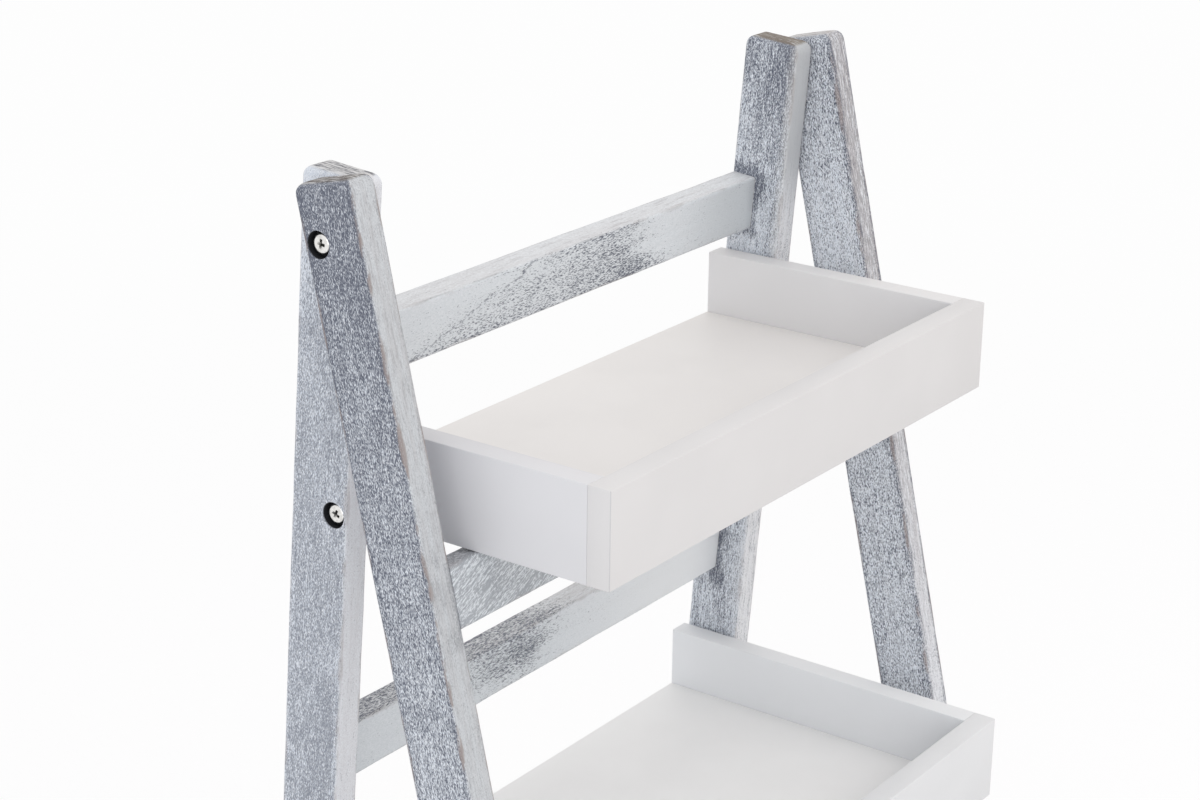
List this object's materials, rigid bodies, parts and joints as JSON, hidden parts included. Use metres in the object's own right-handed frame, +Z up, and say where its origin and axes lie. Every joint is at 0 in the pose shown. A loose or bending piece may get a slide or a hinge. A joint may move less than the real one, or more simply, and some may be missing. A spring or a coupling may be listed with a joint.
{
  "type": "folding ladder shelf",
  "caption": "Free-standing folding ladder shelf: hinged whitewashed wooden leg frames carrying open-backed white trays that get deeper towards the floor.",
  "frame": {"origin": "on the floor, in the middle of the footprint of the four feet", "axes": "+X to the shelf's right seen from the front, +Y to the back, +Z up"},
  "size_m": [0.4898, 0.331, 0.9021],
  "materials": {
    "whitewashed_wood": "brushed and whitewashed over a dark stain",
    "white_paint": "smooth matte white paint",
    "zinc_screw": "bright zinc plating",
    "steel_insert": "plain machined steel",
    "nylon_washer": "plain moulded nylon",
    "beech_dowel": "bare fluted beech"
  },
  "bodies": {
    "rear_frame": {"left_rear_leg": "whitewashed_wood", "right_rear_leg": "whitewashed_wood", "top_rear_rail": "whitewashed_wood", "middle_rear_rail": "whitewashed_wood", "bottom_rear_rail": "whitewashed_wood", "rear_rail_dowels": "beech_dowel", "hinge_screws": "zinc_screw", "hinge_washers": "zinc_screw", "hinge_inserts": "steel_insert"},
    "front_frame": {"left_front_leg": "whitewashed_wood", "right_front_leg": "whitewashed_wood", "top_front_rail": "whitewashed_wood", "middle_front_rail": "whitewashed_wood", "bottom_front_rail": "whitewashed_wood", "front_rail_dowels": "beech_dowel"},
    "top_tray": {"top_tray_left_side": "white_paint", "top_tray_right_side": "white_paint", "top_tray_front_board": "white_paint", "top_tray_floor": "white_paint", "top_tray_dowels": "beech_dowel", "top_tray_pivot_screws": "zinc_screw", "top_tray_pivot_washers": "nylon_washer", "top_tray_pivot_inserts": "steel_insert"},
    "middle_tray": {"middle_tray_left_side": "white_paint", "middle_tray_right_side": "white_paint", "middle_tray_front_board": "white_paint", "middle_tray_floor": "white_paint", "middle_tray_dowels": "beech_dowel", "middle_tray_pivot_screws": "zinc_screw", "middle_tray_pivot_washers": "nylon_washer", "middle_tray_pivot_inserts": "steel_insert"},
    "bottom_tray": {"bottom_tray_left_side": "white_paint", "bottom_tray_right_side": "white_paint", "bottom_tray_front_board": "white_paint", "bottom_tray_floor": "white_paint", "bottom_tray_dowels": "beech_dowel", "bottom_tray_pivot_screws": "zinc_screw", "bottom_tray_pivot_washers": "nylon_washer", "bottom_tray_pivot_inserts": "steel_insert"}
  },
  "joints": [
    {"name": "frame_fold", "type": "hinge", "parent": "rear_frame", "child": "front_frame", "pos_m": [0, 0.06845, 0.864], "axis": [1, 0, 0], "range_deg": [0, 17.6]},
    {"name": "top_tray_tilt", "type": "hinge", "parent": "rear_frame", "child": "top_tray", "pos_m": [0, 0.08088, 0.7025], "axis": [-1, 0, 0], "range_deg": [0, 47]},
    {"name": "middle_tray_tilt", "type": "hinge", "parent": "rear_frame", "child": "middle_tray", "pos_m": [0, 0.10281, 0.4175], "axis": [-1, 0, 0], "range_deg": [0, 62]},
    {"name": "bottom_tray_tilt", "type": "hinge", "parent": "rear_frame", "child": "bottom_tray", "pos_m": [0, 0.12474, 0.1325], "axis": [-1, 0, 0], "range_deg": [0, 64]}
  ]
}
